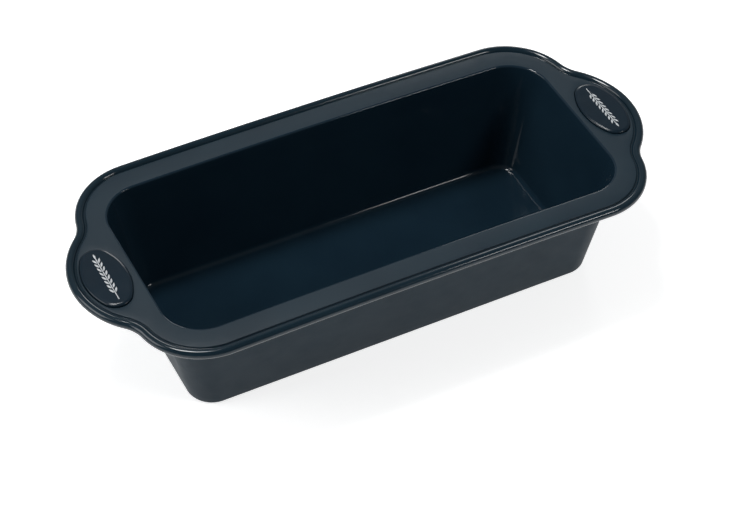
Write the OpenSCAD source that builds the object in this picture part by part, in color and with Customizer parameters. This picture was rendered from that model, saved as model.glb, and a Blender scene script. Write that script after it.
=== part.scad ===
// Loaf pan: a one-piece silicone tub with a wide flat rim, a wire-cored edge
// bead that runs out round two rounded end handles, and an oval badge let into
// each handle.
//
// Millimetres, +Z up. The origin is the middle of the flat base, on the surface
// the pan stands on. +X runs along the pan, +Y across it.

/* [Opening] */
// length of the opening at the rim
opening_l = 250; // [200:1:300]
// width of the opening at the rim
opening_w = 105; // [90:1:130]
// plan radius of the opening's corners
opening_r = 21; // [17:0.5:28]

/* [Tub] */
// height of the flat rim above the base
rim_h = 65; // [50:0.5:84]
// thickness of the tub's walls
wall_t = 2.2; // [1.5:0.1:3]
// thickness of the floor
floor_t = 2.3; // [1.5:0.1:4]
// how far each end wall leans in, from the rim down to the base
end_lean = 12.8; // [6:0.1:17]
// how far each side wall leans in, from the rim down to the base
side_lean = 9.2; // [4:0.1:12]
// plan radius of the tub's corners at the base
base_corner_r = 14; // [11:0.5:20]
// radius of the outside edge round the base
base_edge_r = 2.5; // [1.5:0.5:5]
// radius of the inside edge round the floor
floor_edge_r = 3; // [1.5:0.5:5]

/* [Rim] */
// width of the rim beyond each end of the opening, bead included
end_rim_w = 15.5; // [13:0.5:18]
// width of the rim beyond each side of the opening, bead included
side_rim_w = 17.5; // [15:0.5:22]
// thickness of the flat rim
rim_t = 2.2; // [1.8:0.1:3]
// plan radius of the rim's outer corners
rim_corner_r = 36; // [34:0.5:44]
// radius of the round bead along the outer edge
bead_r = 2.25; // [2:0.05:2.6]
// how far the bead stands above the flat rim
bead_rise = 0.9; // [0.5:0.1:1.3]
// depth of the step down from the flat rim to the bead
step_depth = 0.8; // [0.5:0.1:1.2]
// gap between the flat rim's edge and the bead, at the top of the bead's side
step_gap = 0.9; // [0.6:0.1:1.4]
// bevel round the top of the opening
opening_bevel = 1.2; // [0.6:0.1:1.6]

/* [Handles] */
// how far each handle stands out from the end of the rim
handle_out = 17.8; // [15:0.1:20]
// plan radius of a handle's outer edge
handle_r = 45; // [43:0.5:50]
// radius of the hollow where a handle meets the rim's corner
neck_r = 18.5; // [14:0.1:24]

/* [Wire] */
// radius of the reinforcing wire inside the bead
wire_r = 1.2; // [0.8:0.05:1.4]
// gap left round the wire, so the two pieces touch but don't overlap
wire_gap = 0.02; // [0.01:0.01:0.05]

/* [Badges] */
// length of a badge, across the pan
badge_l = 41; // [34:0.5:44]
// width of a badge, along the pan
badge_w = 22.6; // [18:0.2:24]
// plan radius of a badge's two ends
badge_end_r = 8; // [6:0.5:8.5]
// depth of the pocket a badge sits in
pocket_depth = 1.2; // [0.8:0.1:1.4]
// height of a badge's middle above the flat rim
badge_rise = 1.3; // [0.8:0.1:1.6]
// width of the lower shoulder round a badge
shoulder_w = 0.9; // [0.6:0.1:1.4]
// height of the shoulder above the flat rim
shoulder_rise = 0.7; // [0.3:0.1:0.7]
// length of the ear-of-grain ornament on a badge
mark_l = 33; // [26:0.5:35]
// number of pairs of grains on the ornament
grain_pairs = 8; // [4:1:9]
// length of one grain
grain_l = 3.4; // [3:0.1:5]
// width of one grain at its middle
grain_w = 1; // [0.8:0.1:1.6]
// angle at which a grain leans off the stalk
grain_lean = 24; // [15:1:40]
// width of the ornament's stalk
stalk_w = 0.5; // [0.3:0.1:0.8]
// length of bare stalk below the lowest grains
bare_stalk = 5; // [3:0.5:8]
// depth of the ornament's inlay
mark_depth = 0.4; // [0.2:0.1:0.6]

/* [Output] */
// which piece to draw

/* [Hidden] */
// cut bodies run past the faces they cut by this much
past = 1;
// thickness of a slice that only carries an outline into a hull
slice = 0.02;
// largest angle between two points along an arc of an outline
arc_step = 5;
// number of flat sides round the bead and round the wire
bead_sides = 16;
wire_sides = 10;
$fn = 48;

rim_half_l = opening_l / 2 + end_rim_w;
rim_half_w = opening_w / 2 + side_rim_w;
bead_z = rim_h + bead_rise - bead_r;
// where the flat rim steps down to the bead, measured in from the outer edge
step_inset = 2 * bead_r + step_gap;
// where the bevel round the opening starts
bevel_z = rim_h - opening_bevel;

// centres of the three arcs that make one quarter of the rim's outline
corner_c = [rim_half_l - rim_corner_r, rim_half_w - rim_corner_r];
handle_c = [rim_half_l + handle_out - handle_r, 0];
centre_gap = norm(corner_c - handle_c);
corner_reach = rim_corner_r + neck_r;
handle_reach = handle_r + neck_r;
neck_along = (corner_reach ^ 2 - handle_reach ^ 2 + centre_gap ^ 2) / (2 * centre_gap);
neck_across = sqrt(corner_reach ^ 2 - neck_along ^ 2);
gap_dir = (handle_c - corner_c) / centre_gap;
neck_c = corner_c + gap_dir * neck_along + [-gap_dir.y, gap_dir.x] * neck_across;
// directions in which the hollow's arc touches the other two
corner_turn = atan2(neck_c.y - corner_c.y, neck_c.x - corner_c.x);
handle_turn = atan2(neck_c.y - handle_c.y, neck_c.x - handle_c.x);

// badges sit on the line where the rim would end if it had no handles
badge_x = rim_half_l;
pocket_z = rim_h - pocket_depth;
badge_top = rim_h + badge_rise;
mark_z = badge_top - mark_depth;

// points along an arc about centre c, without its last point
function arc(c, r, from, to) =
    let (steps = ceil(abs(to - from) / arc_step))
    [for (i = [0:steps - 1]) let (a = from + (to - from) * i / steps) c + r * [cos(a), sin(a)]];

// points in the reverse order, mirrored, without the first and last few
function mirrored(points, sign, skip) =
    [for (i = [len(points) - 1 - skip:-1:skip]) [points[i].x * sign.x, points[i].y * sign.y]];

// the rim's outline, moved in by inset: a handle's arc, a hollow, a corner, and
// their mirror images
function rim_outline(inset) =
    let (
        quarter = concat(
            arc(handle_c, handle_r - inset, 0, handle_turn),
            arc(neck_c, neck_r + inset, handle_turn + 180, corner_turn + 180),
            arc(corner_c, rim_corner_r - inset, corner_turn, 90),
            [corner_c + [0, rim_corner_r - inset]]
        ),
        half = concat(quarter, mirrored(quarter, [-1, 1], 0))
    )
    concat(half, mirrored(half, [1, -1], 1));

// an oval of four arcs, moved in by inset: small end arcs on Y, large side arcs
// on X
function badge_outline(inset) =
    let (
        half_w = badge_w / 2,
        end_y = badge_l / 2 - badge_end_r,
        side_r = (half_w ^ 2 + end_y ^ 2 - badge_end_r ^ 2) / (2 * (half_w - badge_end_r)),
        turn = atan2(end_y, side_r - half_w)
    )
    concat(
        arc([half_w - side_r, 0], side_r - inset, -turn, turn),
        arc([0, end_y], badge_end_r - inset, turn, 180 - turn),
        arc([side_r - half_w, 0], side_r - inset, 180 - turn, 180 + turn),
        arc([0, -end_y], badge_end_r - inset, 180 + turn, 360 - turn)
    );

// a plate with the rim's outline, moved in by inset
module rim_plate(inset, z_low, z_high)
{
    translate([0, 0, z_low])
        linear_extrude(z_high - z_low)
            polygon(rim_outline(inset));
}

// a closed round rod that follows the middle of the bead all the way round:
// rings of the rim's outline, one for each of the rod's sides
module bead_rod(r, sides)
{
    rings = [for (i = [0:sides - 1]) let (a = 360 * i / sides)
        [for (p = rim_outline(bead_r - r * cos(a))) [p.x, p.y, bead_z + r * sin(a)]]];
    n = len(rings[0]);
    faces = [for (i = [0:sides - 1], j = [0:n - 1])
        let (up = (i + 1) % sides, next = (j + 1) % n)
        [i * n + j, up * n + j, up * n + next, i * n + next]];
    polyhedron([for (ring = rings, p = ring) p], faces);
}

// puts a copy of its child at the four corners of a rectangle
module at_corners(half_l, half_w)
{
    for (x = [-half_l, half_l], y = [-half_w, half_w])
        translate([x, y, 0])
            children();
}

// a solid block with leaning walls, rounded corners and a rounded bottom edge;
// top_half and top_r are its half sizes and corner radius at height z_top,
// base_half and base_r the same just above its bottom edge
module tub_block(top_half, top_r, z_top, base_half, base_r, edge_r, z_base)
{
    hull()
    {
        at_corners(top_half.x - top_r, top_half.y - top_r)
            translate([0, 0, z_top])
                cylinder(r = top_r, h = slice);
        at_corners(base_half.x - base_r, base_half.y - base_r)
            translate([0, 0, z_base + edge_r])
                rotate_extrude()
                    translate([base_r - edge_r, 0])
                        circle(edge_r);
    }
}

// outside of the tub, ending inside the flat rim's thickness
module tub_outside()
{
    top_half = [opening_l / 2 + wall_t, opening_w / 2 + wall_t];
    tub_block(
        top_half, opening_r + wall_t, rim_h - rim_t / 2,
        top_half - [end_lean, side_lean], base_corner_r, base_edge_r, 0
    );
}

// the space inside the tub, up to the bevel
module tub_inside()
{
    top_half = [opening_l / 2, opening_w / 2];
    tub_block(
        top_half, opening_r, bevel_z,
        top_half - [end_lean, side_lean], base_corner_r - wall_t, floor_edge_r, floor_t
    );
}

// the bevel round the top of the opening, at 45 degrees
module opening_cut()
{
    cut_h = opening_bevel + past;
    hull()
        at_corners(opening_l / 2 - opening_r, opening_w / 2 - opening_r)
            translate([0, 0, bevel_z])
                cylinder(r1 = opening_r, r2 = opening_r + cut_h, h = cut_h);
}

// the silicone moulding: tub, flat rim, bead and handles
module pan_body()
{
    color([0.19, 0.23, 0.27])
        difference()
        {
            union()
            {
                tub_outside();
                rim_plate(bead_r, rim_h - rim_t, rim_h - step_depth);
                rim_plate(step_inset, rim_h - rim_t, rim_h);
                bead_rod(bead_r, bead_sides);
            }
            tub_inside();
            opening_cut();
            bead_rod(wire_r + wire_gap, wire_sides);
            for (side = [-1, 1])
                translate([side * badge_x, 0, pocket_z])
                    linear_extrude(pocket_depth + past)
                        polygon(badge_outline(0));
        }
}

// the closed loop of steel wire inside the bead
module rim_frame()
{
    color([0.62, 0.63, 0.65])
        bead_rod(wire_r, wire_sides);
}

// one badge: a broad lower shoulder and a raised middle, with the inlay cut out
module badge(side)
{
    color([0.12, 0.15, 0.18])
        translate([side * badge_x, 0, 0])
            difference()
            {
                union()
                {
                    translate([0, 0, pocket_z])
                        linear_extrude(pocket_depth + shoulder_rise)
                            polygon(badge_outline(0));
                    translate([0, 0, pocket_z])
                        linear_extrude(pocket_depth + badge_rise)
                            polygon(badge_outline(shoulder_w));
                }
                translate([0, 0, mark_z])
                    linear_extrude(mark_depth + past)
                        ear_of_grain(side);
            }
}

// one grain: the lens where two equal circles cross
module grain()
{
    lens_r = (grain_l ^ 2 + grain_w ^ 2) / (4 * grain_w);
    intersection()
    {
        translate([lens_r - grain_w / 2, 0])
            circle(lens_r);
        translate([grain_w / 2 - lens_r, 0])
            circle(lens_r);
    }
}

// the ornament: a thin stalk with pairs of grains leaning off it and one at its
// tip; it points away from -Y on one handle and away from +Y on the other
module ear_of_grain(side)
{
    pitch = (mark_l - grain_l - bare_stalk) / grain_pairs;
    rotate(side > 0 ? 180 : 0)
        translate([0, -mark_l / 2])
        {
            translate([-stalk_w / 2, 0])
                square([stalk_w, mark_l - grain_l / 2]);
            translate([0, mark_l - grain_l / 2])
                grain();
            for (i = [0:grain_pairs - 1], lean = [-grain_lean, grain_lean])
                translate([0, bare_stalk + pitch * i])
                    rotate(lean)
                        translate([0, grain_l / 2 - stalk_w])
                            grain();
        }
}

// the pale inlay that fills a badge's ornament
module badge_mark(side)
{
    color([0.93, 0.94, 0.94])
        translate([side * badge_x, 0, mark_z])
            linear_extrude(mark_depth)
                ear_of_grain(side);
}

module left_badge() { badge(-1); }
module right_badge() { badge(1); }
module left_badge_mark() { badge_mark(-1); }
module right_badge_mark() { badge_mark(1); }

pan_body();
rim_frame();
left_badge();
right_badge();
left_badge_mark();
right_badge_mark();
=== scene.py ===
"""Loaf pan: a silicone tub with a wide flat rim, a wire-cored edge bead and two badged end handles.

Metres, +Z up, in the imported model's own frame. Sizes that the frame holds are read from it. The
others are named here and follow the same construction as the solids: leaning walls between rounded
rectangles, and a rim outline of handle arcs, hollows and corner arcs.
"""

import math

import bpy
import numpy as np
from mathutils import Matrix, Vector, noise
from mathutils.geometry import delaunay_2d_cdt


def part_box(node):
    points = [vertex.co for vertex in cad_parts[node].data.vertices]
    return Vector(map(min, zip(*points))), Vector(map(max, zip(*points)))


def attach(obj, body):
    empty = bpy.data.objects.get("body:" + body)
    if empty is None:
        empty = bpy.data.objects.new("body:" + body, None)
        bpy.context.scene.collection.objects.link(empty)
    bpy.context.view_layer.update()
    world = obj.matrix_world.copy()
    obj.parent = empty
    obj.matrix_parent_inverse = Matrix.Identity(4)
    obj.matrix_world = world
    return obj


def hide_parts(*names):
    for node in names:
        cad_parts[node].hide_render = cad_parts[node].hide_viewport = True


MM = 0.001

# ---------------------------------------------------------------- sizes

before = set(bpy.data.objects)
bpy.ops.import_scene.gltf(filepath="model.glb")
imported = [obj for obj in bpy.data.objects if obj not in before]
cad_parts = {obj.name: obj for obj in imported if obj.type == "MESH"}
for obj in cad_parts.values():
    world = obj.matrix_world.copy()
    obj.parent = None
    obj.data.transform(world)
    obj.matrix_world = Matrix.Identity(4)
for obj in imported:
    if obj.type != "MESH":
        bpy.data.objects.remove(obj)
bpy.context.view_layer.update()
pan_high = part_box("pan_body")[1]
wire_low, wire_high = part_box("rim_frame")
badge_low, badge_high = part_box("right_badge")
mark_low, mark_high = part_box("right_badge_mark")

WIRE_R = (wire_high.z - wire_low.z) / 2
BEAD_Z = (wire_high.z + wire_low.z) / 2
BEAD_R = pan_high.z - BEAD_Z
BEAD_RISE = 0.9 * MM                        # how far the bead stands above the flat rim
RIM_Z = pan_high.z - BEAD_RISE
RIM_T = 2.2 * MM
UNDER_Z = RIM_Z - RIM_T

OPENING = np.array([125.0, 52.5]) * MM      # half sizes of the opening
OPENING_R = 21 * MM
WALL_T = 2.2 * MM
FLOOR_T = 2.3 * MM
LEAN = np.array([12.8, 9.2]) * MM           # how far the ends and the sides lean in
BASE_R = 14 * MM
BASE_EDGE_R = 2.5 * MM
FLOOR_EDGE_R = 3 * MM
OPENING_BEVEL = 1.2 * MM                    # depth below the rim at which the opening has its size
LIP_R = 1.1 * MM
UNDER_LIP_R = 2.5 * MM

HANDLE_OUT = 17.8 * MM
HANDLE_R = 45 * MM
NECK_R = 18.5 * MM
CORNER_R = 36 * MM
RIM_HALF = np.array([pan_high.x - HANDLE_OUT, pan_high.y])

STEP_GAP = 0.9 * MM                         # how far past the bead the step lies
STEP_INSET = 2 * BEAD_R + STEP_GAP          # where the flat rim steps down to the bead
STEP_DEPTH = 0.8 * MM
STEP_ROUND = 0.5 * MM
GROOVE_ROUND = 0.3 * MM
UNDER_ROUND = 0.6 * MM                      # rounding between the bead and the rim's underside
UNDER_REACH = 1.5 * MM                      # how far the edge profile goes in past the step
WIRE_GAP = 0.02 * MM

BADGE_X = (badge_low.x + badge_high.x) / 2
BADGE_HALF = np.array([badge_high.x - badge_low.x, badge_high.y - badge_low.y]) / 2
BADGE_END_R = 8 * MM
BADGE_TOP = badge_high.z
POCKET_Z = badge_low.z
POCKET_GAP = 0.12 * MM
POCKET_LIP = 0.4 * MM
SHOULDER_R = 0.9 * MM
CROWN_W = 1.1 * MM
CROWN_RISE = 0.25 * MM
BADGE_FOOT = 0.25 * MM                      # bevel round the badge's underside
DISH_W = 1.5 * MM
DISH_DEPTH = 0.03 * MM

MARK_HALF = (mark_high.y - mark_low.y) / 2
MARK_RISE = 0.12 * MM                       # how far a mark stands above its badge
MARK_TOP = BADGE_TOP + MARK_RISE
MARK_BOTTOM = mark_low.z
GRAIN = np.array([1.0, 3.4]) * MM
GRAIN_PAIRS = 8
GRAIN_LEAN = math.radians(24)
STALK_W = 0.5 * MM
STALK_SHORT = 0.2 * MM                      # how far its straight part is short of the tip grain
BARE_STALK = 5 * MM
MARK_ROUND = 0.1 * MM                       # height of the rounding on top of a mark
GRAIN_ROUND_W = 0.35 * MM
STALK_ROUND_W = 0.15 * MM

ARCH = 1.9 * MM                             # rise from the foot of the handles to the middle
RIPPLE = 0.06 * MM                          # height of the moulding's faint unevenness
RIPPLE_SCALES = 22, 61                      # noise cells in a metre, broad and fine

GRID = 4 * MM                               # spacing of the points inside a flat area
ARC_STEP = math.radians(2.5)
EDGE_STEPS, WALL_STEPS, LIP_STEPS = 8, 14, 7  # rings of each stretch of a tub wall
BEAD_RINGS = 44                             # rings of the rim's edge that lie on the bead
WIRE_SIDES = 16
CLEAR_OF_EDGE = 0.6                         # least gap from a grid point to an edge point, in spacings

# brightness of the studio's sky, by the height of the direction, and how it falls off at the front
SKY = [(0.0, 0.50), (0.45, 0.16), (0.72, 0.33), (0.95, 0.15)]
FRONT_SKY, BACK_SKY = 0.45, 1.1
SKY_REACH = 0.7                             # how far to the front and back the fall-off goes
SKY_TINT = (0.97, 0.99, 1.0)
# name, place, width and height, brightness
SOFTBOXES = [
    ("overhead", (-0.17, 0.38, 1.38), (0.52, 0.20), 31),
    ("left", (-1.20, 0.35, 0.80), (0.8, 0.7), 4),
    ("front", (0.60, -0.79, 0.78), (0.34, 0.10), 26),
    ("back", (0.80, 1.30, 0.55), (0.40, 0.40), 5),
]
# painted pool of light: the floor glows round this place, fully up to the near distance and faintly
# from the far one
GLOW_CENTRE = (-0.3, -0.5, 0)
GLOW_NEAR, GLOW_FAR = 0.85, 1.35
FLOOR_GLOW, FAR_GLOW = 0.72, 0.1
FLOOR_HALF = 6.0
FLOOR_Z = -0.2 * MM

VIEW_ANGLES = [-28.64, 45.65, 1.89]         # azimuth, elevation and roll, in degrees
VIEW_DISTANCE = 1113.2 * MM
VIEW_RIGHT, VIEW_UP = 3.95 * MM, -33.75 * MM
AIM_Z = 66.5 * MM                           # height that the camera is aimed from
LENS, SENSOR = 106.65, 36                   # focal length and sensor width, in millimetres


# ---------------------------------------------------------------- outlines

def polar(angle):
    """Unit vectors at these angles."""
    return np.stack([np.cos(angle), np.sin(angle)], axis=-1)


def arc(centre, radius, start, end, count=0):
    """Points along an arc, without its last one. A count of 0 spaces them by ARC_STEP."""
    count = count or max(2, math.ceil(abs(end - start) / ARC_STEP))
    angles = np.linspace(start, end, count, endpoint=False)
    return np.asarray(centre) + radius * polar(angles)


def straight(start, end, spacing=GRID):
    """Points along a straight edge, without its last one."""
    start, end = np.asarray(start, float), np.asarray(end, float)
    count = max(1, math.ceil(np.linalg.norm(end - start) / spacing))
    along = np.linspace(0, 1, count, endpoint=False)[:, None]
    return start + (end - start) * along


def circles_meet(centre_a, reach_a, centre_b, reach_b):
    """The point at these distances from two centres, on the left of the way from a to b."""
    between = centre_b - centre_a
    gap = np.linalg.norm(between)
    along = (reach_a**2 - reach_b**2 + gap**2) / (2 * gap)
    across = math.sqrt(reach_a**2 - along**2)
    ahead = between / gap
    left = np.array([-ahead[1], ahead[0]])
    return centre_a + ahead * along + left * across


CORNER_C = RIM_HALF - CORNER_R
HANDLE_C = np.array([RIM_HALF[0] + HANDLE_OUT - HANDLE_R, 0.0])
NECK_C = circles_meet(CORNER_C, CORNER_R + NECK_R, HANDLE_C, HANDLE_R + NECK_R)
CORNER_TURN = math.atan2(*(NECK_C - CORNER_C)[::-1])
HANDLE_TURN = math.atan2(*(NECK_C - HANDLE_C)[::-1])


def rim_outline(inset):
    """The rim's outline moved in by inset, anticlockwise from the middle of the right handle."""
    corner_end = CORNER_C + [0, CORNER_R - inset]
    quarter = np.vstack([
        arc(HANDLE_C, HANDLE_R - inset, 0, HANDLE_TURN),
        arc(NECK_C, NECK_R + inset, HANDLE_TURN + math.pi, CORNER_TURN + math.pi),
        arc(CORNER_C, CORNER_R - inset, CORNER_TURN, math.pi / 2),
        straight(corner_end, [0, corner_end[1]]),
        [[0, corner_end[1]]],
    ])
    half = np.vstack([quarter, quarter[-2::-1] * [-1, 1]])
    return np.vstack([half, half[-2:0:-1] * [1, -1]])


def rounded_rectangle(half, radius):
    """(points, outward normals) of a rounded rectangle, the same number whatever its size."""
    points, normals = [], []
    corner = np.asarray(half) - radius
    turns = np.arange(0, math.pi / 2 - 1e-9, ARC_STEP)
    counts = {0: round(2 * OPENING[1] / GRID), 1: round(2 * OPENING[0] / GRID)}
    for side in range(4):
        sign = np.array([(1, 1), (-1, 1), (-1, -1), (1, -1)][side])
        next_sign = np.array([(-1, 1), (-1, -1), (1, -1), (1, 1)][side])
        angles = side * math.pi / 2 + turns
        points.append(corner * sign + radius * polar(angles))
        normals.append(polar(angles))
        facing = polar(np.array((side + 1) * math.pi / 2))
        start = corner * sign + radius * facing
        end = corner * next_sign + radius * facing
        count = counts[(side + 1) % 2]
        along = np.linspace(0, 1, count, endpoint=False)[:, None]
        points.append(start + (end - start) * along)
        normals.append(np.repeat(facing[None], count, axis=0))
    return np.vstack(points), np.vstack(normals)


def badge_outline(inset):
    """A badge's four-arc oval about the origin, moved in by inset."""
    half_w, half_l = BADGE_HALF
    end_y = half_l - BADGE_END_R
    side_r = (half_w**2 + end_y**2 - BADGE_END_R**2) / (2 * (half_w - BADGE_END_R))
    turn = math.atan2(end_y, side_r - half_w)
    return np.vstack([
        arc([half_w - side_r, 0], side_r - inset, -turn, turn),
        arc([0, end_y], BADGE_END_R - inset, turn, math.pi - turn, 36),
        arc([side_r - half_w, 0], side_r - inset, math.pi - turn, math.pi + turn),
        arc([0, -end_y], BADGE_END_R - inset, math.pi + turn, 2 * math.pi - turn, 36),
    ])


# ---------------------------------------------------------------- building a closed skin

def inside(points, outline):
    """Which of the points lie inside a closed outline."""
    result = np.zeros(len(points), bool)
    x, y = points[:, 0], points[:, 1]
    for (x1, y1), (x2, y2) in zip(outline, np.roll(outline, -1, axis=0)):
        crosses = (y1 > y) != (y2 > y)
        if y1 != y2:
            result ^= crosses & (x < (x2 - x1) * (y - y1) / (y2 - y1) + x1)
    return result


def arched(x, y, z):
    """Lifts the middle of the soft rim, and lets the handles' tips drop a little."""
    return x, y, z + ARCH * (z / RIM_Z) * (1 - (x / RIM_HALF[0]) ** 2)


class Skin:
    """A closed surface made of rings of points, joined ring to ring, with flat areas filled."""

    def __init__(self):
        self.points = []
        self.faces = []
        self.finishes = []

    def ring(self, outline, height):
        """Adds a closed ring of points. height is one number or one for each point."""
        first = len(self.points)
        heights = np.broadcast_to(height, len(outline))
        self.points += [(x, y, z) for (x, y), z in zip(outline, heights)]
        return list(range(first, len(self.points)))

    def add_face(self, corners, finish):
        self.faces.append(tuple(corners))
        self.finishes.append(finish)

    def join(self, rings, finish=0):
        """Quads between each ring and the next."""
        for near, far in zip(rings, rings[1:]):
            for i in range(len(near)):
                j = (i + 1) % len(near)
                self.add_face((near[i], near[j], far[j], far[i]), finish)

    def fill(self, outer, holes=(), up=True, finish=0, spacing=GRID):
        """Triangles over the flat area inside one ring and outside the others."""
        rings = [outer, *holes]
        known = [i for ring in rings for i in ring]
        flat = np.array([self.points[i][:2] for i in known])
        height = self.points[outer[0]][2]
        outlines = [np.array([self.points[i][:2] for i in ring]) for ring in rings]

        def in_area(points):
            result = inside(points, outlines[0])
            for hole in outlines[1:]:
                result &= ~inside(points, hole)
            return result

        low, high = outlines[0].min(axis=0), outlines[0].max(axis=0)
        xs, ys = [np.arange(low[k] + spacing / 2, high[k], spacing) for k in (0, 1)]
        grid = np.array([(x, y) for x in xs for y in ys]).reshape(-1, 2)
        if len(grid):
            gaps = np.linalg.norm(grid[:, None] - flat[None], axis=2).min(axis=1)
            grid = grid[in_area(grid) & (gaps > spacing * CLEAR_OF_EDGE)]
        edges, first = [], 0
        for ring in rings:
            count = len(ring)
            edges += [(first + i, first + (i + 1) % count) for i in range(count)]
            first += count
        places = [Vector(p) for p in flat] + [Vector(p) for p in grid]
        found = delaunay_2d_cdt(places, edges, [], 0, 1e-9)
        made, triangles, sources = found[0], found[2], found[3]
        names = []
        for place, source in zip(made, sources):
            if source and source[0] < len(known):
                names.append(known[source[0]])
            else:
                names.append(len(self.points))
                self.points.append((place.x, place.y, height))
        centres = np.array([np.mean([made[i][:] for i in t], axis=0) for t in triangles])
        for triangle, wanted in zip(triangles, in_area(centres)):
            if wanted:
                corners = [names[i] for i in triangle]
                self.add_face(corners if up else corners[::-1], finish)

    def build(self, name, materials, ripple=0.0):
        """Makes the Blender object. ripple is the height of the skin's faint unevenness."""
        mesh = bpy.data.meshes.new(name)
        mesh.from_pydata([arched(*point) for point in self.points], [], self.faces)
        for material in materials:
            mesh.materials.append(material)
        mesh.polygons.foreach_set("material_index", self.finishes)
        mesh.polygons.foreach_set("use_smooth", [True] * len(self.faces))
        mesh.update()
        if ripple:
            broad, fine = RIPPLE_SCALES
            normals = [vertex.normal.copy() for vertex in mesh.vertices]
            for vertex, normal in zip(mesh.vertices, normals):
                swell = noise.noise(vertex.co * broad) + 0.5 * noise.noise(vertex.co * fine)
                vertex.co += normal * (swell * ripple)
            mesh.update()
        thing = bpy.data.objects.new(name, mesh)
        bpy.context.scene.collection.objects.link(thing)
        return thing


# ---------------------------------------------------------------- materials

class Nodes:
    """A short way to write a material's node tree."""

    def __init__(self, name):
        self.material = bpy.data.materials.new(name)
        self.material.use_nodes = True
        self.tree = self.material.node_tree
        self.shader = self.tree.nodes["Principled BSDF"]
        self.place = self.add("ShaderNodeTexCoord").outputs["Object"]

    def add(self, kind, **settings):
        node = self.tree.nodes.new(kind)
        for key, value in settings.items():
            setattr(node, key, value)
        return node

    def link(self, source, target):
        self.tree.links.new(source, target)

    def noise(self, scale, detail=3.0, rough=0.5, stretch=None):
        """A noise's value over the object's own coordinates."""
        node = self.add("ShaderNodeTexNoise")
        node.inputs["Scale"].default_value = scale
        node.inputs["Detail"].default_value = detail
        node.inputs["Roughness"].default_value = rough
        place = self.place
        if stretch:
            mapping = self.add("ShaderNodeMapping")
            mapping.inputs["Scale"].default_value = stretch
            self.link(place, mapping.inputs["Vector"])
            place = mapping.outputs["Vector"]
        self.link(place, node.inputs["Vector"])
        return node.outputs["Fac"]

    def ramp(self, value, stops):
        """Colours along a value. stops are (position, colour) pairs."""
        node = self.add("ShaderNodeValToRGB")
        ramp = node.color_ramp
        while len(ramp.elements) < len(stops):
            ramp.elements.new(0.5)
        for element, (position, colour) in zip(ramp.elements, stops):
            element.position = position
            element.color = (*colour, 1)
        self.link(value, node.inputs["Fac"])
        return node.outputs["Color"]

    def spread(self, value, low, high):
        """A value from 0.3..0.7 spread over low..high."""
        node = self.add("ShaderNodeMapRange")
        node.inputs["From Min"].default_value = 0.3
        node.inputs["From Max"].default_value = 0.7
        node.inputs["To Min"].default_value = low
        node.inputs["To Max"].default_value = high
        self.link(value, node.inputs["Value"])
        return node.outputs["Result"]

    def bumps(self, *layers):
        """Bump layers of (value, strength, depth in metres), one over another."""
        normal = None
        for value, strength, depth in layers:
            node = self.add("ShaderNodeBump")
            node.inputs["Strength"].default_value = strength
            node.inputs["Distance"].default_value = depth
            self.link(value, node.inputs["Height"])
            if normal:
                self.link(normal, node.inputs["Normal"])
            normal = node.outputs["Normal"]
        self.link(normal, self.shader.inputs["Normal"])

    def set(self, **sockets):
        for name, value in sockets.items():
            self.shader.inputs[name.replace("_", " ")].default_value = value


def silicone(name, dark, light, roughness, grain, ior=1.36, depth=0.05 * MM):
    """Moulded silicone: a dark slate with faint clouding and a fine surface grain."""
    nodes = Nodes(name)
    clouds = nodes.noise(28, detail=4)
    nodes.link(nodes.ramp(clouds, [(0.3, dark), (0.7, light)]), nodes.shader.inputs["Base Color"])
    wiped = nodes.noise(90, detail=5, rough=0.6, stretch=(1.0, 2.2, 1.4))
    nodes.link(nodes.spread(wiped, *roughness), nodes.shader.inputs["Roughness"])
    nodes.bumps(
        (nodes.noise(180, detail=2), 0.25, depth),
        (nodes.noise(2600, detail=2), grain, depth),
    )
    nodes.set(IOR=ior)
    return nodes.material


def steel_wire():
    """Drawn steel wire with fine lengthwise lines."""
    nodes = Nodes("steel_wire")
    lines = nodes.noise(900, detail=2, stretch=(0.2, 1.0, 3.0))
    tones = [(0.3, (0.46, 0.46, 0.47)), (0.7, (0.62, 0.62, 0.63))]
    nodes.link(nodes.ramp(lines, tones), nodes.shader.inputs["Base Color"])
    nodes.link(nodes.spread(lines, 0.25, 0.4), nodes.shader.inputs["Roughness"])
    nodes.bumps((lines, 0.3, 0.02 * MM))
    nodes.set(Metallic=1.0)
    return nodes.material


def white_inlay():
    """Pale filled silicone, a little uneven in tone."""
    nodes = Nodes("white_inlay")
    tones = [(0.3, (0.48, 0.51, 0.53)), (0.7, (0.60, 0.63, 0.65))]
    nodes.link(nodes.ramp(nodes.noise(700, detail=3), tones), nodes.shader.inputs["Base Color"])
    nodes.link(nodes.spread(nodes.noise(500), 0.4, 0.55), nodes.shader.inputs["Roughness"])
    nodes.bumps((nodes.noise(3000, detail=1), 0.2, 0.02 * MM))
    nodes.set(IOR=1.41)
    return nodes.material


# ---------------------------------------------------------------- the pan

def tangent_lean(top, centre, normals, rise, radius):
    """How far from upright, at each point, a wall leans that runs from a round edge to the top."""
    out = ((top - centre) * normals).sum(axis=1)
    return np.arccos(radius / np.hypot(out, rise)) - np.arctan2(rise, out)


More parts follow.
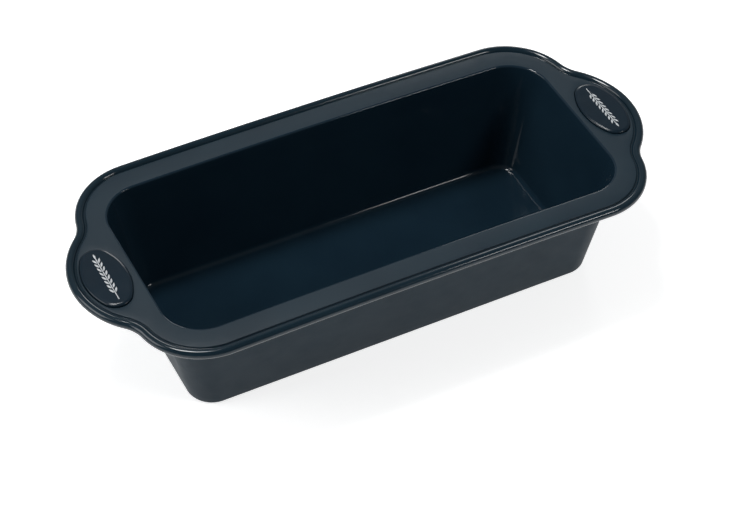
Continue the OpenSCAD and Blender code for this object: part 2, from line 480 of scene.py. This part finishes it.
def tub_wall(skin, half, top_r, top_z, base_r, edge_r, base_z, plane_z, lip_r):
    """Rings of one side of the tub, from its bottom edge up to the plane that it turns into.

    The wall leans from the rounded bottom edge to half and top_r at top_z, then turns outwards
    with radius lip_r into the level plane_z.
    """
    top, normals = rounded_rectangle(half, top_r)
    base_centre = np.asarray(half) - LEAN - edge_r
    centre, _ = rounded_rectangle(base_centre, base_r - edge_r)
    centre_z = base_z + edge_r
    lean = tangent_lean(top, centre, normals, top_z - centre_z, edge_r)
    rings = []
    for turn in np.linspace(0, 1, EDGE_STEPS + 1):
        angle = -math.pi / 2 + (math.pi / 2 - lean) * turn
        outline = centre + normals * (edge_r * np.cos(angle))[:, None]
        rings.append(skin.ring(outline, centre_z + edge_r * np.sin(angle)))
    foot = centre + normals * (edge_r * np.cos(lean))[:, None]
    foot_z = centre_z - edge_r * np.sin(lean)
    lip_start_z = plane_z - lip_r * (1 - np.sin(lean))
    slope = (top - foot) / (top_z - foot_z)[:, None]
    lip_start = foot + slope * (lip_start_z - foot_z)[:, None]
    for share in np.linspace(0, 1, WALL_STEPS + 1)[1:]:
        outline = foot + (lip_start - foot) * share
        rings.append(skin.ring(outline, foot_z + (lip_start_z - foot_z) * share))
    lip_centre = lip_start + normals * (lip_r * np.cos(lean))[:, None]
    for turn in np.linspace(0, 1, LIP_STEPS + 1)[1:]:
        angle = math.pi - lean - (math.pi / 2 - lean) * turn
        outline = lip_centre + normals * (lip_r * np.cos(angle))[:, None]
        rings.append(skin.ring(outline, plane_z - lip_r + lip_r * np.sin(angle)))
    return rings


def rim_edge_profile():
    """(inset, height) pairs from the underside, round the bead and up to the flat rim."""
    groove_z = RIM_Z - STEP_DEPTH
    blend_r = GROOVE_ROUND
    profile = []

    def turn(centre, radius, start, end, count):
        for angle in np.radians(np.linspace(start, end, count)):
            place = centre[0] - radius * math.cos(angle), centre[1] + radius * math.sin(angle)
            if not profile or math.dist(place, profile[-1]) > 0.01 * MM:
                profile.append(place)

    under_r = UNDER_ROUND
    under_rise = UNDER_Z - under_r - BEAD_Z
    under_tilt = math.degrees(math.asin(-under_rise / (BEAD_R + under_r)))
    under_c = (BEAD_R + math.sqrt((BEAD_R + under_r) ** 2 - under_rise**2), UNDER_Z - under_r)
    groove_rise = groove_z + blend_r - BEAD_Z
    groove_tilt = math.degrees(math.asin(groove_rise / (BEAD_R + blend_r)))
    groove_c = (BEAD_R + math.sqrt((BEAD_R + blend_r) ** 2 - groove_rise**2), groove_z + blend_r)
    profile.append((STEP_INSET + UNDER_REACH, UNDER_Z))
    turn(under_c, under_r, 90, under_tilt, 5)
    turn((BEAD_R, BEAD_Z), BEAD_R, 180 + under_tilt, 540 - groove_tilt, 34)
    turn(groove_c, blend_r, -groove_tilt, -90, 4)
    turn((STEP_INSET - blend_r, groove_z + blend_r), blend_r, -90, -180, 4)
    turn((STEP_INSET + STEP_ROUND, RIM_Z - STEP_ROUND), STEP_ROUND, 0, 90, 6)
    return profile


def pocket(skin, side):
    """Rings of a badge's pocket, from the flat rim down, and its floor."""
    place = np.array([side * BADGE_X, 0])
    rings = []
    for angle in np.radians(np.linspace(90, 180, 5)):
        inset = -POCKET_GAP - POCKET_LIP - POCKET_LIP * math.cos(angle)
        height = RIM_Z - POCKET_LIP + POCKET_LIP * math.sin(angle)
        rings.append(skin.ring(badge_outline(inset) + place, height))
    rings.append(skin.ring(badge_outline(-POCKET_GAP) + place, POCKET_Z))
    skin.join(rings)
    skin.fill(rings[-1])
    return rings[0]


def bead_channel(skin, radius, inward):
    """The closed tube that the wire lies in, or the wire's own surface if not inward."""
    rings = []
    for angle in np.linspace(0, 2 * math.pi, WIRE_SIDES + 1)[:-1] * (-1 if inward else 1):
        outline = rim_outline(BEAD_R - radius * math.cos(angle))
        rings.append(skin.ring(outline, BEAD_Z + radius * math.sin(angle)))
    skin.join([*rings, rings[0]])


def make_pan(matt, glossy, polished, wall):
    """The one-piece moulding, with the closed channel that the wire lies in."""
    skin = Skin()
    outer = tub_wall(
        skin, OPENING + WALL_T, OPENING_R + WALL_T, RIM_Z - RIM_T / 2, BASE_R, BASE_EDGE_R, 0.0,
        UNDER_Z, UNDER_LIP_R,
    )
    inner = tub_wall(
        skin, OPENING, OPENING_R, RIM_Z - OPENING_BEVEL, BASE_R - WALL_T, FLOOR_EDGE_R, FLOOR_T,
        RIM_Z, LIP_R,
    )
    edge = [skin.ring(rim_outline(inset), height) for inset, height in rim_edge_profile()]
    skin.fill(outer[0], up=False, finish=3)
    skin.join(outer, finish=3)
    skin.fill(edge[0], [outer[-1]], up=False)
    skin.join(edge[:BEAD_RINGS], finish=2)
    skin.join(edge[BEAD_RINGS - 1:])
    pockets = [pocket(skin, side) for side in (-1, 1)]
    skin.fill(edge[-1], [inner[-1], *pockets])
    skin.join(inner[::-1], finish=1)
    skin.fill(inner[0], finish=1)
    bead_channel(skin, WIRE_R + WIRE_GAP, inward=True)
    pan = skin.build("silicone_pan", [matt, glossy, polished, wall], ripple=RIPPLE)
    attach(pan, "root")
    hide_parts("pan_body")


def make_wire(material):
    """The closed loop of wire inside the bead."""
    skin = Skin()
    bead_channel(skin, WIRE_R, inward=False)
    wire = skin.build("rim_wire", [material])
    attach(wire, "root")
    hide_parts("rim_frame")


def make_badge(name, node, side, material):
    """An oval plug with a rounded shoulder and a faintly dished top."""
    crown_z = BADGE_TOP - CROWN_RISE
    profile = [(BADGE_FOOT, POCKET_Z), (0.0, POCKET_Z + BADGE_FOOT)]
    for angle in np.radians(np.linspace(0, 78, 8)):
        inset = SHOULDER_R * (1 - math.cos(angle))
        profile.append((inset, crown_z - SHOULDER_R * (1 - math.sin(angle))))
    start = profile[-1]
    for share in np.linspace(0, 1, 6)[1:]:
        ease = math.sin(share * math.pi / 2)
        profile.append((start[0] + CROWN_W * share, start[1] + (BADGE_TOP - start[1]) * ease))
    profile.append((profile[-1][0] + DISH_W, BADGE_TOP - DISH_DEPTH))
    skin = Skin()
    place = np.array([side * BADGE_X, 0])
    rings = [skin.ring(badge_outline(inset) + place, height) for inset, height in profile]
    skin.fill(rings[0], up=False, spacing=GRID / 2)
    skin.join(rings)
    skin.fill(rings[-1], spacing=GRID / 2)
    badge = skin.build(name, [material])
    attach(badge, "root")
    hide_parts(node)


def grain_outline(inset=0.0):
    """A pointed lens standing on the origin, its sides two arcs."""
    half_w, half_l = GRAIN / 2 - inset
    lens_r = (half_l**2 + half_w**2) / (2 * half_w)
    reach = math.asin(half_l / lens_r)
    sides = [
        arc([half_w - lens_r, 0], lens_r, -reach, reach, 12),
        arc([lens_r - half_w, 0], lens_r, math.pi - reach, math.pi + reach, 12),
    ]
    return np.vstack(sides) + [0, GRAIN[1] / 2]


def domed(skin, outline_at, reach):
    """A small raised shape: upright sides, then rings that close over the top."""
    rings = [skin.ring(outline_at(0.0), MARK_BOTTOM)]
    rings.append(skin.ring(outline_at(0.0), MARK_TOP - MARK_ROUND))
    for angle in np.radians([25, 50, 75]):
        inset = reach * (1 - math.cos(angle))
        rings.append(skin.ring(outline_at(inset), MARK_TOP - MARK_ROUND * (1 - math.sin(angle))))
    skin.fill(rings[0], up=False, spacing=GRID)
    skin.join(rings)
    skin.fill(rings[-1], spacing=GRID)


def make_mark(name, node, side, material):
    """An ear of grain: a stalk, pairs of leaning grains and one at the tip."""
    skin = Skin()
    heading = math.pi if side > 0 else 0.0
    foot = np.array([0.0, -MARK_HALF])
    tip_y = 2 * MARK_HALF - GRAIN[1]
    pitch = (tip_y - BARE_STALK) / GRAIN_PAIRS

    def turned(outline, angle):
        spin = np.array([polar(np.array(angle)), polar(np.array(angle + math.pi / 2))])
        return outline @ spin

    def placed(outline):
        return turned(outline + foot, heading) + [side * BADGE_X, 0]

    def stalk(inset):
        half_w = STALK_W / 2 - inset
        upper = arc([0, tip_y - STALK_SHORT], half_w, 0, math.pi, 7)
        lower = arc([0, 0], half_w, math.pi, 2 * math.pi, 7)
        return placed(np.vstack([upper, lower]) + [0, half_w])

    def tip(inset):
        return placed(grain_outline(inset) + [0, tip_y])

    domed(skin, stalk, STALK_ROUND_W)
    domed(skin, tip, GRAIN_ROUND_W)
    for i in range(GRAIN_PAIRS):
        for lean in (-1, 1):
            root = np.array([-lean * STALK_W, BARE_STALK + pitch * i])

            def leaf(inset, lean=lean, root=root):
                return placed(turned(grain_outline(inset), lean * GRAIN_LEAN) + root)

            domed(skin, leaf, GRAIN_ROUND_W)
    mark = skin.build(name, [material])
    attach(mark, "root")
    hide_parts(node)


# ---------------------------------------------------------------- stage, light and camera

def make_floor():
    """A pale floor with a painted pool of light: though it is no lamp, it glows a little near the pan,
    as under a bright studio.
    """
    nodes = Nodes("pale_floor")
    tones = [(0.3, (0.80, 0.80, 0.80)), (0.7, (0.82, 0.82, 0.82))]
    nodes.link(nodes.ramp(nodes.noise(3), tones), nodes.shader.inputs["Base Color"])
    away = nodes.add("ShaderNodeVectorMath", operation="DISTANCE")
    away.inputs[1].default_value = GLOW_CENTRE
    nodes.link(nodes.place, away.inputs[0])
    # painted pool of light: the floor's glow fades from FLOOR_GLOW near the pan to FAR_GLOW far off
    fade = nodes.add("ShaderNodeMapRange", interpolation_type="SMOOTHSTEP")
    fade.inputs["From Min"].default_value = GLOW_NEAR
    fade.inputs["From Max"].default_value = GLOW_FAR
    fade.inputs["To Min"].default_value = FLOOR_GLOW
    fade.inputs["To Max"].default_value = FAR_GLOW
    nodes.link(away.outputs["Value"], fade.inputs["Value"])
    nodes.link(fade.outputs["Result"], nodes.shader.inputs["Emission Strength"])
    nodes.set(Roughness=0.9, Emission_Color=(1, 1, 1, 1))
    mesh = bpy.data.meshes.new("floor")
    signs = ((-1, -1), (1, -1), (1, 1), (-1, 1))
    corners = [(x * FLOOR_HALF, y * FLOOR_HALF, FLOOR_Z) for x, y in signs]
    mesh.from_pydata(corners, [], [(0, 1, 2, 3)])
    mesh.materials.append(nodes.material)
    floor = bpy.data.objects.new("floor", mesh)
    bpy.context.scene.collection.objects.link(floor)


def softbox(name, place, size, brightness):
    """A rectangular lamp facing the pan, of this brightness over its whole face."""
    light = bpy.data.lights.new(name, "AREA")
    light.shape = "RECTANGLE"
    light.size, light.size_y = size
    light.energy = brightness * math.pi * size[0] * size[1]
    thing = bpy.data.objects.new(name, light)
    thing.location = place
    thing.rotation_mode = "QUATERNION"
    thing.rotation_quaternion = (-Vector(place)).to_track_quat("-Z", "Y")
    thing.visible_camera = False
    bpy.context.scene.collection.objects.link(thing)


def make_light():
    """A soft sky that is darker at the front, and the lamps."""
    world = bpy.data.worlds.new("studio")
    world.use_nodes = True
    tree = world.node_tree
    place = tree.nodes.new("ShaderNodeTexCoord").outputs["Generated"]
    split = tree.nodes.new("ShaderNodeSeparateXYZ")
    ramp = tree.nodes.new("ShaderNodeValToRGB")
    tree.links.new(place, split.inputs["Vector"])
    tree.links.new(split.outputs["Z"], ramp.inputs["Fac"])
    background = tree.nodes["Background"]
    tree.links.new(ramp.outputs["Color"], background.inputs["Color"])
    while len(ramp.color_ramp.elements) < len(SKY):
        ramp.color_ramp.elements.new(0.5)
    for element, (height, tone) in zip(ramp.color_ramp.elements, SKY):
        element.position = height
        element.color = (*(tone * tint for tint in SKY_TINT), 1)
    depth = tree.nodes.new("ShaderNodeMapRange")
    depth.inputs["From Min"].default_value = -SKY_REACH
    depth.inputs["From Max"].default_value = SKY_REACH
    depth.inputs["To Min"].default_value = FRONT_SKY
    depth.inputs["To Max"].default_value = BACK_SKY
    tree.links.new(split.outputs["Y"], depth.inputs["Value"])
    tree.links.new(depth.outputs["Result"], background.inputs["Strength"])
    bpy.context.scene.world = world
    for light in SOFTBOXES:
        softbox(*light)


def make_camera():
    """The view from the front left and above, with a long lens and a slight roll."""
    azimuth, elevation, roll = np.radians(VIEW_ANGLES)
    back = Vector((
        math.sin(azimuth) * math.cos(elevation),
        -math.cos(azimuth) * math.cos(elevation),
        math.sin(elevation),
    ))
    level = Vector((math.cos(azimuth), math.sin(azimuth), 0))
    steep = back.cross(level)
    right = level * math.cos(roll) + steep * math.sin(roll)
    up = steep * math.cos(roll) - level * math.sin(roll)
    lens = bpy.data.cameras.new("camera")
    lens.sensor_width = SENSOR
    lens.lens = LENS
    lens.clip_start = 0.05
    camera = bpy.data.objects.new("camera", lens)
    place = Vector((0, 0, AIM_Z)) + back * VIEW_DISTANCE + right * VIEW_RIGHT + up * VIEW_UP
    turn = Matrix((right, up, back)).transposed().to_4x4()
    camera.matrix_world = Matrix.Translation(place) @ turn
    bpy.context.scene.collection.objects.link(camera)
    bpy.context.scene.camera = camera


# ---------------------------------------------------------------- the whole scene

matt_silicone = silicone(
    "matt_silicone", (0.0060, 0.0185, 0.0300), (0.0085, 0.0240, 0.0370),
    roughness=(0.42, 0.50), grain=0.35,
)
wall_silicone = silicone(
    "wall_silicone", (0.0070, 0.0175, 0.0270), (0.0095, 0.0215, 0.0320),
    roughness=(0.44, 0.54), grain=0.35, ior=1.23,
)
glossy_silicone = silicone(
    "glossy_silicone", (0.0068, 0.0180, 0.0300), (0.0088, 0.0225, 0.0360),
    roughness=(0.07, 0.10), grain=0.03, depth=0.015 * MM,
)
polished_silicone = silicone(
    "polished_silicone", (0.0050, 0.0160, 0.0255), (0.0070, 0.0200, 0.0310),
    roughness=(0.10, 0.15), grain=0.05, ior=1.42, depth=0.012 * MM,
)
badge_silicone = silicone(
    "badge_silicone", (0.0040, 0.0125, 0.0215), (0.0055, 0.0160, 0.0270),
    roughness=(0.18, 0.25), grain=0.12, depth=0.02 * MM,
)
wire_steel = steel_wire()
inlay = white_inlay()

make_pan(matt_silicone, glossy_silicone, polished_silicone, wall_silicone)
make_wire(wire_steel)
for word, side in (("left", -1), ("right", 1)):
    make_badge(f"{word}_handle_badge", f"{word}_badge", side, badge_silicone)
    make_mark(f"{word}_grain_mark", f"{word}_badge_mark", side, inlay)
make_floor()
make_light()
make_camera()
bpy.context.scene.view_settings.view_transform = "Standard"
